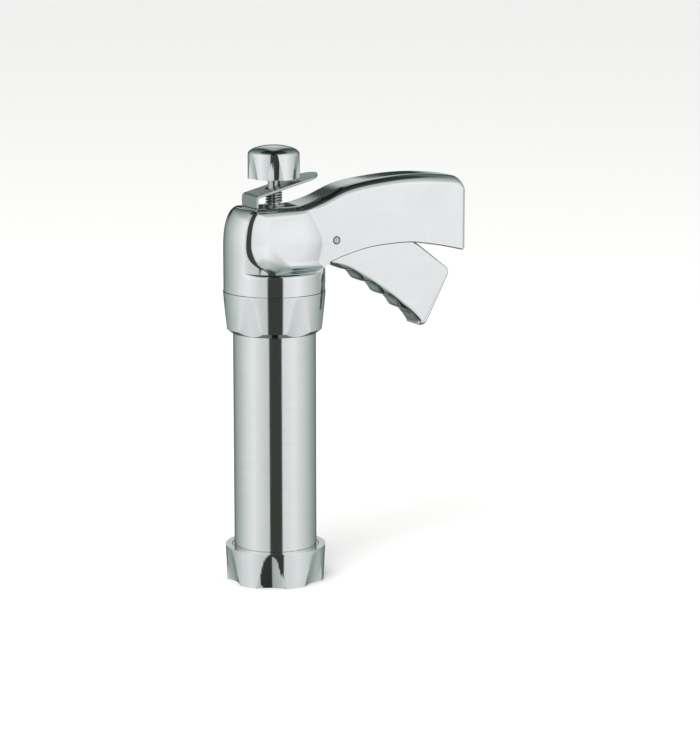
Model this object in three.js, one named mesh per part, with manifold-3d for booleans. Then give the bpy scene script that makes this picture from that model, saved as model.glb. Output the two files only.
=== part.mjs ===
// A hand-held cookie press with a trigger: a dough barrel with a shaping disc at its foot, and above it
// a hollow cast housing whose handle holds the trigger that feeds the plunger rod down.
//
// Millimetres, +Z up, the handle points along +X. Heights are counted from the foot, which is the bottom
// face of the bottom ring. At the end the group is lowered by the ring's lip, so that the origin is the
// centre of the shaping disc's outer face, on the barrel's axis.

import * as THREE from 'three';
import { mergeVertices } from 'three/addons/utils/BufferGeometryUtils.js';
import Module from 'manifold-3d';

const wasm = await Module();
wasm.setup();

// ---- Driving sizes ------------------------------------------------------------------------------

const seat = 0.1; // between faces that rest on each other
const slip = 0.3; // round a piece that slides, turns or is threaded in

const barrel = { radius: 24.15, wall: 1.0, length: 148.6, flange: 1.45, flangeHeight: 1.2 };
const die = { thickness: 1.2, step: 0.4 };
const petal = { count: 6, reach: 12, tipRadius: 3.3, root: 8, rootRadius: 1.6 };
const bottomRing = { height: 21, footStep: 4.25, rimStep: 5.35, lip: 2.9, mouthStep: -2.65 };
const collar = { height: 17, wall: 0.9 };
const topRing = { height: 24, lip: 3.2, bevel: 4, beltStep: 4.55, rimStep: 5.65, throat: 0.35, fluteShare: 0.75 };
const flutes = { count: 6, halfWidth: 8.2, rounding: 60, below: 3.1 };
const turnedTo = { bottomRing: -0.6, topRing: -25.2, knob: 9.3 }; // where each was left when last screwed on

const rod = { radius: 3.5 };
const piston = { thickness: 2.5, edgeGap: 1.1, dieGap: 1.6, hubRadius: 8 };
const seal = { thickness: 2.9, edgeGap: 0.25 };
const pistonWasher = { radius: 16, thickness: 1.2 };
const pistonNut = { acrossCorners: 15, height: 4.6 };

const gasket = { thickness: 1.4, width: 5 };
const guideDisc = { thickness: 4, ledge: 2.5 };
const lowerBushing = { wall: 2.5, flangeWidth: 5.5, flange: 1.5 };
const upperBushing = { wall: 1.7 };

const neck = { step: 1.75, wall: 3.4 };
const column = { step: 5.35, skirt: 14, height: 49, halfWidth: 17.5, wall: 3.4, ceiling: 4.5 };
const shoulder = { share: 0.743, inset: 10, squareness: 0.8 };
const handle = { root: 8, halfWidth: 13.5, wall: 3, roof: 4, endGap: 0.9, endWall: 4, endRise: 11.4 };
const stopWeb = { length: 4.8, halfWidth: 6, gap: 0.9 };

const pin = { beyond: 4.3, level: 0.58, radius: 2, proud: 0.2 };
const trigger = { reach: 80.8, sideGap: 1.5, bossRadius: 7 };
const arm = { noseX: 9.5, rise: 14, noseRadius: 2.5, halfWidth: 6 };
const grip = { sag: 4, wave: 0.7, pitch: 15.5, firstValley: 18.6, steps: 24 };

const drivePlate = { thickness: 2, halfWidth: 9, rear: -10, front: 14, holeGap: 0.5 };
const driveSpring = { radius: 8, wire: 1.4, turns: 6, washer: 1 };
const releasePlate = { thickness: 1.6, halfWidth: 10, tilt: 14.5, aboveTop: 9.6, front: 17, play: 1.6 };
const releaseHook = { tabInset: 3.7, halfWidth: 7, foot: 1.4, bend: 1.2, slotGap: 0.9, slack: 0.7 };
const releaseSpring = { wire: 1.1, turns: 4, washer: 0.8 };
const knob = { radius: 15, height: 13.9, dome: 5.3, gap: 1, grip: 9, fluteHalfWidth: 4.6, fluteBelow: 1.5, rounding: 9 };

// ---- Sizes that follow from them ------------------------------------------------------------------

const mouthRadius = barrel.radius + bottomRing.mouthStep;
const dieFace = bottomRing.lip + seat - die.step;
const barrelFoot = dieFace + die.thickness + seat;
const barrelTop = barrelFoot + barrel.length;
const barrelBore = barrel.radius - barrel.wall;
const flangeRadius = barrel.radius + barrel.flange;
const ringBore = barrel.radius + collar.wall + seat + slip + 0.1;
const gasketTop = barrelTop + seat + gasket.thickness;
const neckFoot = gasketTop + seat;
const neckRadius = barrel.radius + neck.step;
const neckBore = neckRadius - neck.wall;
const discFoot = gasketTop + 2 * seat;
const discTop = discFoot + guideDisc.thickness;
const topRingFoot = barrelTop - barrel.flangeHeight - slip - topRing.lip;
const jointLine = topRingFoot + topRing.height + slip;
const columnRadius = barrel.radius + column.step;
const ledge = jointLine + column.skirt;
const columnTop = jointLine + column.height;
const ceiling = columnTop - column.ceiling;
const shoulderDrop = shoulder.share * (column.height - column.skirt);
const tabX = -(columnRadius - shoulder.inset - releaseHook.tabInset);
const pistonFoot = dieFace + die.thickness + piston.dieGap;
const sealFoot = pistonFoot + piston.thickness + seat;
const washerFoot = sealFoot + seal.thickness + seat;
const nutFoot = washerFoot + pistonWasher.thickness + seat;
const pinX = columnRadius + pin.beyond;
const pinHeight = jointLine + pin.level * column.height;
const handleEnd = pinX + trigger.reach + handle.endGap + handle.endWall;
const triggerHalfWidth = handle.halfWidth - handle.wall - trigger.sideGap;
const armNose = {
  x: arm.noseX,
  height: pinHeight + (pinX - arm.noseX) * Math.tan(THREE.MathUtils.degToRad(arm.rise)),
};
const releaseSlope = Math.tan(THREE.MathUtils.degToRad(releasePlate.tilt));
const releaseThickness = releasePlate.thickness / Math.cos(THREE.MathUtils.degToRad(releasePlate.tilt));
const releaseHeight = columnTop + releasePlate.aboveTop;
const releaseSpringRadius = rod.radius + slip + releaseSpring.wire;
const knobFoot = releaseHeight + releaseSlope * knob.radius + releaseThickness + knob.gap;
const knobRim = knobFoot + knob.height;
const knobTop = knobRim + knob.dome;
const rodTop = knobFoot + knob.grip;
const drivePlateTop = armNose.height - arm.noseRadius - slip;
const drivePlateFoot = drivePlateTop - drivePlate.thickness;
const bushingTop = discTop + seat + lowerBushing.flange;
const bushingFlangeRadius = rod.radius + lowerBushing.flangeWidth;
const driveSeat = bushingTop + seat;

// ---- Solids ---------------------------------------------------------------------------------------

function toSolid(geometry) {
  const bare = geometry.clone();
  bare.deleteAttribute('normal');
  bare.deleteAttribute('uv');
  const merged = mergeVertices(bare, 1e-4);
  const corners = merged.index.array;
  const triangles = [];
  for (let i = 0; i < corners.length; i += 3) {
    const [a, b, c] = corners.slice(i, i + 3);
    const flat = a === b || b === c || c === a;
    if (!flat) triangles.push(a, b, c);
  }
  const vertProperties = new Float32Array(merged.attributes.position.array);
  const triVerts = new Uint32Array(triangles);
  return new wasm.Manifold(new wasm.Mesh({ numProp: 3, vertProperties, triVerts }));
}

function toGeometry(solid) {
  const { vertProperties, triVerts } = solid.getMesh();
  const geometry = new THREE.BufferGeometry();
  geometry.setAttribute('position', new THREE.BufferAttribute(vertProperties, 3));
  geometry.setIndex(new THREE.BufferAttribute(triVerts, 1));
  geometry.computeVertexNormals();
  return geometry;
}

// A solid turned about the Z axis. The outline is (radius, height) pairs, up the outside and down the
// inside; it closes on itself, or on the axis.
function revolve(outline, segments = 40) {
  const points = outline.map(([radius, height]) => new THREE.Vector2(radius, height));
  points.push(points[0].clone());
  const geometry = new THREE.LatheGeometry(points, segments);
  return toSolid(geometry.rotateX(Math.PI / 2));
}

function disc(radius, foot, top, segments = 40) {
  return revolve([[0, foot], [radius, foot], [radius, top], [0, top]], segments);
}

function ring(inner, outer, foot, top, segments = 40) {
  return revolve([[inner, foot], [outer, foot], [outer, top], [inner, top]], segments);
}

// A plate whose outline is (x, height) pairs, counter-clockwise, between -halfWidth and +halfWidth in Y.
function sidePlate(outline, halfWidth) {
  const shape = new THREE.Shape(outline.map(([x, height]) => new THREE.Vector2(x, height)));
  const geometry = new THREE.ExtrudeGeometry(shape, { depth: 2 * halfWidth, bevelEnabled: false });
  return toSolid(geometry.rotateX(Math.PI / 2).translate(0, halfWidth, 0));
}

// A bar whose outline is (y, height) pairs, counter-clockwise, between two X places.
function crossBar(outline, from, to) {
  const shape = new THREE.Shape(outline.map(([y, height]) => new THREE.Vector2(y, height)));
  const geometry = new THREE.ExtrudeGeometry(shape, { depth: to - from, bevelEnabled: false });
  return toSolid(geometry.rotateX(Math.PI / 2).rotateZ(Math.PI / 2).translate(from, 0, 0));
}

function box(from, to) {
  const size = to.map((value, axis) => value - from[axis]);
  const middle = to.map((value, axis) => (value + from[axis]) / 2);
  return toSolid(new THREE.BoxGeometry(...size).translate(...middle));
}

function pinAlongY(radius, x, height, halfLength, segments = 20) {
  const geometry = new THREE.CylinderGeometry(radius, radius, 2 * halfLength, segments);
  return toSolid(geometry.translate(x, 0, height));
}

function coil({ radius, wire, turns }, foot, top) {
  class Helix extends THREE.Curve {
    getPoint(t, target = new THREE.Vector3()) {
      const angle = 2 * Math.PI * turns * t;
      const rise = THREE.MathUtils.lerp(foot + wire / 2, top - wire / 2, t);
      return target.set((radius - wire / 2) * Math.cos(angle), (radius - wire / 2) * Math.sin(angle), rise);
    }
  }
  const section = new THREE.Shape().absarc(0, 0, wire / 2, 0, 2 * Math.PI);
  const options = { steps: 10 * turns, curveSegments: 3, extrudePath: new Helix(), bevelEnabled: false };
  return toSolid(new THREE.ExtrudeGeometry(section, options));
}

// ---- The flutes of the two rings and the knob -------------------------------------------------------

// Each flute is a tilted round bar cut out of the side: it starts at the apex, on the wall, and reaches
// its full depth at the foot, where it is 2 * halfWidth wide.
function fluted(solid, { footRadius, rimRadius, foot, apex, halfWidth, rounding, firstAngle }) {
  const wallSag = footRadius - Math.sqrt(footRadius ** 2 - halfWidth ** 2);
  const barSag = rounding - Math.sqrt(rounding ** 2 - halfWidth ** 2);
  const bottomX = footRadius - wallSag - barSag + rounding;
  const lean = Math.atan2(rimRadius + rounding - bottomX, apex - foot);
  const bar = new THREE.CylinderGeometry(rounding, rounding, 4 * (apex - foot), 48, 1);
  bar.rotateX(Math.PI / 2).rotateY(lean).translate(bottomX, 0, foot);
  const cutter = toSolid(bar);
  let result = solid;
  for (let i = 0; i < flutes.count; i += 1) {
    result = result.subtract(cutter.rotate([0, 0, firstAngle + (360 * i) / flutes.count]));
  }
  return result;
}

// ---- Barrel and rings -------------------------------------------------------------------------------

function makeBarrel() {
  const flangeFoot = barrelTop - barrel.flangeHeight;
  return revolve([
    [barrelBore, barrelFoot],
    [barrel.radius, barrelFoot],
    [barrel.radius, flangeFoot],
    [flangeRadius, flangeFoot],
    [flangeRadius, barrelTop],
    [barrelBore, barrelTop],
  ], 48);
}

function makeBarrelCollar() {
  const inner = barrel.radius + seat;
  return ring(inner, inner + collar.wall, barrelFoot + seat, barrelFoot + collar.height, 48);
}

function makeBottomRing() {
  const footRadius = barrel.radius + bottomRing.footStep;
  const rimRadius = barrel.radius + bottomRing.rimStep;
  const body = revolve([
    [mouthRadius, 0],
    [footRadius, 0],
    [rimRadius, bottomRing.height],
    [ringBore, bottomRing.height],
    [ringBore, bottomRing.lip],
    [mouthRadius, bottomRing.lip],
  ], 48);
  return fluted(body, {
    footRadius,
    rimRadius,
    foot: 0,
    apex: bottomRing.height - flutes.below,
    halfWidth: flutes.halfWidth,
    rounding: flutes.rounding,
    firstAngle: turnedTo.bottomRing,
  });
}

function makeTopRing() {
  const beltRadius = barrel.radius + topRing.beltStep;
  const rimRadius = barrel.radius + topRing.rimStep;
  const bore = neckRadius + slip + seat;
  const top = topRingFoot + topRing.height;
  const throat = barrel.radius + topRing.throat;
  const body = revolve([
    [throat, topRingFoot],
    [throat + 0.8, topRingFoot],
    [beltRadius, topRingFoot + topRing.bevel],
    [rimRadius, top],
    [bore, top],
    [bore, topRingFoot + topRing.lip],
    [throat, topRingFoot + topRing.lip],
  ], 48);
  return fluted(body, {
    footRadius: beltRadius,
    rimRadius,
    foot: topRingFoot + topRing.bevel,
    apex: top - flutes.below,
    halfWidth: topRing.fluteShare * flutes.halfWidth,
    rounding: flutes.rounding,
    firstAngle: turnedTo.topRing,
  });
}

// A shaping disc with a plain flower of round-ended petals about a solid centre. Its rim is stepped back,
// so that it sits on the ring's lip and its face stands in the ring's mouth.
function makeDieDisc() {
  const top = dieFace + die.thickness;
  const face = mouthRadius - slip;
  const rim = ringBore - slip;
  const ledgeHeight = dieFace + die.step;
  let plate = revolve([
    [0, dieFace],
    [face, dieFace],
    [face, ledgeHeight],
    [rim, ledgeHeight],
    [rim, top],
    [0, top],
  ], 48);
  const [low, high] = [dieFace - die.thickness, top + die.thickness];
  const tip = disc(petal.tipRadius, low, high, 20).translate([petal.reach, 0, 0]);
  const root = disc(petal.rootRadius, low, high, 12).translate([petal.root, 0, 0]);
  const cutter = tip.add(root).hull();
  for (let i = 0; i < petal.count; i += 1) {
    plate = plate.subtract(cutter.rotate([0, 0, (360 * i) / petal.count]));
  }
  return plate;
}

// ---- Plunger ----------------------------------------------------------------------------------------

function makePlungerRod() {
  return disc(rod.radius, pistonFoot + seat, rodTop, 24);
}

function makePiston() {
  const hubTop = washerFoot - seat;
  const outer = barrelBore - piston.edgeGap;
  const bore = rod.radius + seat;
  return revolve([
    [bore, pistonFoot],
    [outer, pistonFoot],
    [outer, pistonFoot + piston.thickness],
    [piston.hubRadius, pistonFoot + piston.thickness],
    [piston.hubRadius, hubTop],
    [bore, hubTop],
  ]);
}

function makePistonSeal() {
  return ring(piston.hubRadius + seat, barrelBore - seal.edgeGap, sealFoot, sealFoot + seal.thickness);
}

function makePistonWasher() {
  return ring(rod.radius + slip, pistonWasher.radius, washerFoot, washerFoot + pistonWasher.thickness);
}

function makePistonNut() {
  const blank = disc(pistonNut.acrossCorners / 2, nutFoot, nutFoot + pistonNut.height, 6);
  return blank.subtract(disc(rod.radius + seat, nutFoot - 1, nutFoot + pistonNut.height + 1, 24));
}

function makeKnob() {
  const steps = 6;
  const outline = [[0, knobFoot], [knob.radius, knobFoot], [knob.radius, knobRim]];
  for (let i = 1; i < steps; i += 1) {
    const angle = (Math.PI / 2) * (i / steps);
    outline.push([knob.radius * Math.cos(angle), knobRim + knob.dome * Math.sin(angle)]);
  }
  outline.push([0, knobTop]);
  const fluteless = revolve(outline);
  const body = fluted(fluteless, {
    footRadius: knob.radius,
    rimRadius: knob.radius,
    foot: knobFoot,
    apex: knobRim - knob.fluteBelow,
    halfWidth: knob.fluteHalfWidth,
    rounding: knob.rounding,
    firstAngle: turnedTo.knob,
  });
  return body.subtract(disc(rod.radius + seat, knobFoot - 1, rodTop + slip, 24));
}

// ---- Head: what closes the barrel and guides the rod -------------------------------------------------

function makeHeadGasket() {
  return ring(flangeRadius - gasket.width, flangeRadius, barrelTop + seat, gasketTop);
}

function makeRodGuideDisc() {
  return ring(rod.radius + lowerBushing.wall + seat, neckBore - slip, discFoot, discTop);
}

function makeLowerBushing() {
  return revolve([
    [rod.radius + slip, discFoot],
    [rod.radius + lowerBushing.wall, discFoot],
    [rod.radius + lowerBushing.wall, discTop + seat],
    [bushingFlangeRadius, discTop + seat],
    [bushingFlangeRadius, bushingTop],
    [rod.radius + slip, bushingTop],
  ], 24);
}

function makeUpperBushing() {
  return ring(rod.radius + slip, rod.radius + upperBushing.wall, ceiling, columnTop, 24);
}

// ---- Housing ----------------------------------------------------------------------------------------

// The rounded shoulder of the column, as (radius, height) pairs up to its flat top. An inset of more
// than zero gives the inner wall.
function shoulderOutline(inset, top) {
  const steps = 6;
  const points = [];
  for (let i = 0; i <= steps; i += 1) {
    const angle = (Math.PI / 2) * (i / steps);
    const side = Math.cos(angle) ** shoulder.squareness;
    const rise = Math.sin(angle) ** shoulder.squareness;
    const radius = columnRadius - inset - shoulder.inset * (1 - side);
    points.push([radius, top - shoulderDrop + shoulderDrop * rise]);
  }
  return points;
}

// The cheeks: seen along X, the column narrows above its skirt to two flat sides.
function cheekOutline(halfWidth, foot, blend, top) {
  return [
    [-columnRadius, foot],
    [columnRadius, foot],
    [columnRadius, ledge],
    [halfWidth + blend, ledge + blend / 2],
    [halfWidth, ledge + 2 * blend],
    [halfWidth, top],
    [-halfWidth, top],
    [-halfWidth, ledge + 2 * blend],
    [-halfWidth - blend, ledge + blend / 2],
    [-columnRadius, ledge],
  ];
}

// The upper edge of the handle runs up from the column's top and over a low arch to the rounded end.
// Pairs are the place along the trigger's reach, counted from the pin, and the height above the column's
// top. drop lowers them, for the roof of the channel.
function handleBack(drop) {
  const arch = [[-0.183, 1.8], [0.101, 10.4], [0.392, 13.9], [0.646, 14.8], [0.894, 13.5]];
  return arch.map(([place, rise]) => [pinX + place * trigger.reach, columnTop + rise - drop]);
}

// Pairs are the place along the trigger's reach and the height above the ledge.
function handleBelly() {
  const belly = [[0.074, 4.9], [0.266, 8.5], [0.46, 9.8], [0.71, 8.7], [0.861, 6.5]];
  return belly.map(([place, rise]) => [pinX + place * trigger.reach, ledge + rise]);
}

function makeHandle() {
  const foot = ledge + 2.8;
  const crest = columnTop + handle.endRise;
  const outline = [
    [0, ledge + 2],
    [columnRadius - 0.5, ledge + 1],
    ...handleBelly(),
    [handleEnd - 2, foot],
    [handleEnd, foot + 3],
    [handleEnd, crest - 8],
    [handleEnd - 3, crest - 2],
    ...handleBack(0).reverse(),
    [handle.root, columnTop],
    [0, columnTop],
  ];
  return sidePlate(outline, handle.halfWidth);
}

function makeChannel() {
  const inner = handleEnd - handle.endWall;
  const below = ledge - 40;
  const outline = [
    [10, ledge + 3],
    [columnRadius + 1, ledge + 0.6],
    [columnRadius + 1, below],
    [inner, below],
    [inner, handleBack(handle.roof).at(-1)[1] - 2],
    ...handleBack(handle.roof).reverse(),
    [10, ceiling - 2],
  ];
  return sidePlate(outline, handle.halfWidth - handle.wall);
}

function makeStopWeb() {
  const out = columnRadius + stopWeb.length;
  const root = columnRadius - 2;
  const rest = gripPoint(0).y - stopWeb.gap;
  const level = (share) => jointLine + share * (rest - jointLine);
  return sidePlate([
    [root, level(0.1)],
    [columnRadius, level(0.1)],
    [out, level(0.63)],
    [out, level(0.85)],
    [root, rest],
  ], stopWeb.halfWidth);
}

function makeHousing() {
  const side = [[0, jointLine], [columnRadius, jointLine], ...shoulderOutline(0, columnTop), [0, columnTop]];
  const far = 2 * columnRadius;
  const cheeks = crossBar(cheekOutline(column.halfWidth, jointLine - 1, 3, columnTop + 1), -far, far);
  const neckTube = disc(neckRadius, neckFoot, jointLine + 1, 48);
  const outside = revolve(side, 48).intersect(cheeks).add(makeHandle()).add(neckTube).add(makeStopWeb());

  const inset = column.wall;
  const hollowFoot = ledge - 2;
  const hollowWall = columnRadius - inset;
  const hollowRound = revolve([
    [0, hollowFoot],
    [hollowWall, hollowFoot],
    ...shoulderOutline(inset, ceiling),
    [0, ceiling],
  ]);
  const innerCheeks = cheekOutline(column.halfWidth - inset, hollowFoot - 1, 1, ceiling + 1);
  const hollowCheeks = crossBar(innerCheeks, -far, far);
  const ledgeTop = discTop + seat + guideDisc.ledge;
  const bore = revolve([
    [0, neckFoot - 1],
    [neckBore, neckFoot - 1],
    [neckBore, discTop + seat],
    [neckBore - guideDisc.ledge, discTop + seat],
    [neckBore - guideDisc.ledge, ledgeTop],
    [neckBore, ledgeTop + 2],
    [neckBore, jointLine + 2],
    [hollowWall, jointLine + inset],
    [hollowWall, ledge - 1],
    [0, ledge - 1],
  ]);
  const hollow = hollowRound.intersect(hollowCheeks).add(bore).add(makeChannel());

  const bushingHole = disc(rod.radius + upperBushing.wall + seat, ceiling - 1, columnTop + 10, 24);
  const slotGap = releaseHook.slotGap;
  const slot = box(
    [tabX - slotGap, -releaseHook.halfWidth - slip, ceiling - 1],
    [tabX + releasePlate.thickness + slotGap, releaseHook.halfWidth + slip, columnTop + 10],
  );
  const pinHole = pinAlongY(pin.radius + seat, pinX, pinHeight, columnRadius);
  return outside.subtract(hollow).subtract(bushingHole).subtract(slot).subtract(pinHole);
}

// ---- Trigger and feed -------------------------------------------------------------------------------

// A place in the trigger's side view: how far along its reach from the pin, and the height from the pin.
function fromPin(place, rise) {
  return new THREE.Vector2(pinX + place * trigger.reach, pinHeight + rise);
}

const gripStart = fromPin(-0.047, -13.2);
const gripEnd = fromPin(0.698, -54);

// A place on the finger side of the trigger, which is hollow along its length, with shallow waves.
function gripPoint(t) {
  const along = gripEnd.clone().sub(gripStart);
  const inward = new THREE.Vector2(-along.y, along.x).normalize();
  const distance = t * along.length();
  const fade = Math.sqrt(Math.sin(Math.PI * Math.min(Math.max(t, 0), 1)));
  const wave = grip.wave * Math.cos((2 * Math.PI * (distance - grip.firstValley)) / grip.pitch);
  return gripStart.clone().addScaledVector(along, t).addScaledVector(inward, (grip.sag + wave) * fade);
}

function makeTrigger() {
  const fingerSide = [];
  for (let i = 0; i <= grip.steps; i += 1) {
    fingerSide.push(gripPoint(i / grip.steps).toArray());
  }
  const outline = [
    ...fingerSide,
    fromPin(0.738, -55.4).toArray(),
    fromPin(0.77, -53).toArray(),
    fromPin(0.948, -25.6).toArray(),
    fromPin(0.941, -23.6).toArray(),
    fromPin(0.692, -6).toArray(),
    fromPin(0.52, 2.5).toArray(),
    [pinX + 3, pinHeight + trigger.bossRadius],
    [pinX - trigger.bossRadius + 1, pinHeight + trigger.bossRadius - 3],
  ];
  const body = sidePlate(outline, triggerHalfWidth);
  const boss = pinAlongY(trigger.bossRadius, pinX, pinHeight, triggerHalfWidth, 24);
  const nose = pinAlongY(arm.noseRadius, armNose.x, armNose.height, arm.halfWidth, 16);
  const plateReach = drivePlate.front - armNose.x + 2;
  const lever = sidePlate([
    [armNose.x, armNose.height - arm.noseRadius],
    [armNose.x + plateReach, armNose.height - arm.noseRadius + 1],
    [pinX, pinHeight - 1],
    [pinX, pinHeight + trigger.bossRadius],
    [armNose.x, armNose.height + arm.noseRadius],
  ], arm.halfWidth);
  const hole = pinAlongY(pin.radius + slip, pinX, pinHeight, columnRadius);
  return body.add(boss).add(nose).add(lever).subtract(hole);
}

function makeTriggerPin() {
  return pinAlongY(pin.radius, pinX, pinHeight, handle.halfWidth + pin.proud);
}

function makeDrivePlate() {
  const { rear, front, halfWidth, holeGap } = drivePlate;
  const blank = box([rear, -halfWidth, drivePlateFoot], [front, halfWidth, drivePlateTop]);
  return blank.subtract(disc(rod.radius + holeGap, drivePlateFoot - 1, drivePlateTop + 1, 24));
}

function makeDriveSpringWasher() {
  return ring(rod.radius + slip, bushingFlangeRadius, driveSeat, driveSeat + driveSpring.washer, 24);
}

function makeDriveSpring() {
  return coil(driveSpring, driveSeat + driveSpring.washer + seat, drivePlateFoot - seat);
}

// ---- Release plate ----------------------------------------------------------------------------------

// A strip bent twice: its foot hooks under the housing's top, its tab stands in the slot, and from the
// upper bend it rises over the rod to a rounded end for the thumb.
function makeReleasePlate() {
  const { thickness, halfWidth, front } = releasePlate;
  const under = (x) => releaseHeight + releaseSlope * x;
  const footTop = ceiling - releaseHook.slack;
  const strip = sidePlate([
    [tabX - releaseHook.foot, footTop - thickness],
    [tabX + thickness, footTop - thickness],
    [tabX + thickness, under(tabX + thickness)],
    [front + halfWidth, under(front + halfWidth)],
    [front + halfWidth, under(front + halfWidth) + releaseThickness],
    [tabX + releaseHook.bend, under(tabX + releaseHook.bend) + releaseThickness],
    [tabX, under(tabX)],
    [tabX, footTop],
    [tabX - releaseHook.foot, footTop],
  ], halfWidth);
  const low = columnTop + slip;
  const high = under(front + halfWidth) + 10;
  const roundEnd = disc(halfWidth, low, high, 24).translate([front, 0, 0]);
  const straight = box([tabX - 10, -halfWidth, low], [front, halfWidth, high]);
  const hook = box([tabX - 10, -releaseHook.halfWidth, footTop - 10], [0, releaseHook.halfWidth, low + 1]);
  const rodSlot = disc(rod.radius + slip, columnTop, high, 24);
  const rodSlotLong = rodSlot.add(rodSlot.translate([-releasePlate.play, 0, 0])).hull();
  return strip.intersect(roundEnd.add(straight).add(hook)).subtract(rodSlotLong);
}

function makeReleaseSpringWasher() {
  const foot = columnTop + seat;
  return ring(rod.radius + slip, rod.radius + upperBushing.wall + 1.2, foot, foot + releaseSpring.washer, 24);
}

function makeReleaseSpring() {
  const spring = { ...releaseSpring, radius: releaseSpringRadius };
  const foot = columnTop + 2 * seat + releaseSpring.washer;
  return coil(spring, foot, releaseHeight - releaseSlope * releaseSpringRadius - seat);
}

// ---- Finishes ---------------------------------------------------------------------------------------

const finishes = {
  chrome: new THREE.MeshStandardMaterial({ color: 0xdfe1e4, metalness: 1, roughness: 0.12 }),
  steel: new THREE.MeshStandardMaterial({ color: 0xaab0b0, metalness: 1, roughness: 0.3 }),
  aluminium: new THREE.MeshStandardMaterial({ color: 0xc9ccd0, metalness: 1, roughness: 0.35 }),
  brass: new THREE.MeshStandardMaterial({ color: 0xc2a15a, metalness: 1, roughness: 0.35 }),
  rubber: new THREE.MeshStandardMaterial({ color: 0x24262a, metalness: 0, roughness: 0.7 }),
};

function piece(name, solid, finish) {
  const mesh = new THREE.Mesh(toGeometry(solid), finishes[finish].clone());
  mesh.name = name;
  return mesh;
}

// ---- Assembly ---------------------------------------------------------------------------------------

const press = new THREE.Group();
press.name = 'cookie_press';
press.add(
  piece('housing', makeHousing(), 'chrome'),
  piece('barrel', makeBarrel(), 'chrome'),
  piece('barrel_collar', makeBarrelCollar(), 'chrome'),
  piece('top_ring', makeTopRing(), 'chrome'),
  piece('bottom_ring', makeBottomRing(), 'chrome'),
  piece('die_disc', makeDieDisc(), 'steel'),
  piece('head_gasket', makeHeadGasket(), 'rubber'),
  piece('rod_guide_disc', makeRodGuideDisc(), 'aluminium'),
  piece('lower_rod_bushing', makeLowerBushing(), 'brass'),
  piece('upper_rod_bushing', makeUpperBushing(), 'brass'),
  piece('plunger_rod', makePlungerRod(), 'steel'),
  piece('knob', makeKnob(), 'chrome'),
  piece('piston', makePiston(), 'aluminium'),
  piece('piston_seal', makePistonSeal(), 'rubber'),
  piece('piston_washer', makePistonWasher(), 'steel'),
  piece('piston_nut', makePistonNut(), 'steel'),
  piece('trigger', makeTrigger(), 'chrome'),
  piece('trigger_pin', makeTriggerPin(), 'steel'),
  piece('drive_plate', makeDrivePlate(), 'steel'),
  piece('drive_spring', makeDriveSpring(), 'steel'),
  piece('drive_spring_washer', makeDriveSpringWasher(), 'steel'),
  piece('release_plate', makeReleasePlate(), 'steel'),
  piece('release_spring', makeReleaseSpring(), 'steel'),
  piece('release_spring_washer', makeReleaseSpringWasher(), 'steel'),
);
press.position.z = -dieFace;

export default press;
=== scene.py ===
"""Trigger cookie press: the finished look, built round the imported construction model."""

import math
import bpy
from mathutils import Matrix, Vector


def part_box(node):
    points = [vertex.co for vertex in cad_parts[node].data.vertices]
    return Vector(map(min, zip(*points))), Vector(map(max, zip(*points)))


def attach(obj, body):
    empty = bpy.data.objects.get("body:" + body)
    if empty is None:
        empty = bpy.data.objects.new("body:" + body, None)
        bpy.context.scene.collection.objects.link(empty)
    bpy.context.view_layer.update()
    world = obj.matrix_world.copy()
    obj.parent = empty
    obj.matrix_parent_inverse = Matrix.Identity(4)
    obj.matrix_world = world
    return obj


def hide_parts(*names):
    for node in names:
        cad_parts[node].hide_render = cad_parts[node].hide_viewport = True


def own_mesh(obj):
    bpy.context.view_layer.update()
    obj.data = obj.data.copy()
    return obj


bl_info = {
    "name": "Cookie Press",
    "version": (1, 0, 0),
    "blender": (4, 5, 0),
    "location": "View3D > Sidebar > Cookie Press",
    "description": "Builds a trigger cookie press with bright plated castings on a plain studio floor",
    "category": "Add Mesh",
}

import bpy
from bpy.props import FloatProperty, FloatVectorProperty, PointerProperty
from mathutils import Vector

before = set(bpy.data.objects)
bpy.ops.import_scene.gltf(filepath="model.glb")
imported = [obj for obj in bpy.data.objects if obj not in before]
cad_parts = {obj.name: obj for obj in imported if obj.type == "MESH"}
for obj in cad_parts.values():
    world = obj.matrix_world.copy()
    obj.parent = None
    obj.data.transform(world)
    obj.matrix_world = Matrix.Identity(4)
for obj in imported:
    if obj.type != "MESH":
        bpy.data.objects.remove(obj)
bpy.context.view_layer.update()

MM = 0.001
SLIP = 0.3  # mm, gap round a piece that turns or slides
SEAT = 0.1  # mm, gap between faces that rest on each other
PIN_GAP = 0.4  # mm, chamfer gap round the pin's ends


def linear(hex_code):
    """The scene-linear colour of an sRGB hex value."""
    parts = [int(hex_code[i : i + 2], 16) / 255 for i in (1, 3, 5)]
    return tuple(c / 12.92 if c <= 0.04045 else ((c + 0.055) / 1.055) ** 2.4 for c in parts)


def span(node):
    """Lowest and highest corner of a construction node, in millimetres."""
    low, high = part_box(node)
    return low / MM, high / MM


# ---- Sizes that come from the construction model, in millimetres ---------------------------------

BARREL_LOW, BARREL_HIGH = span("barrel")
COLLAR_LOW, COLLAR_HIGH = span("barrel_collar")
TOP_LOW, TOP_HIGH = span("top_ring")
BOTTOM_LOW, BOTTOM_HIGH = span("bottom_ring")
HOUSING_LOW, HOUSING_HIGH = span("housing")
KNOB_LOW, KNOB_HIGH = span("knob")
ROD_LOW, ROD_HIGH = span("plunger_rod")
PIN_LOW, PIN_HIGH = span("trigger_pin")
TRIGGER_LOW = span("trigger")[0]
PLATE_HIGH = span("release_plate")[1]
SPRING_LOW, SPRING_HIGH = span("release_spring")
WASHER_LOW, WASHER_HIGH = span("release_spring_washer")
BUSHING_LOW, BUSHING_HIGH = span("upper_rod_bushing")
DIE_LOW, DIE_HIGH = span("die_disc")
DRIVE_LOW, DRIVE_HIGH = span("drive_spring")

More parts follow.
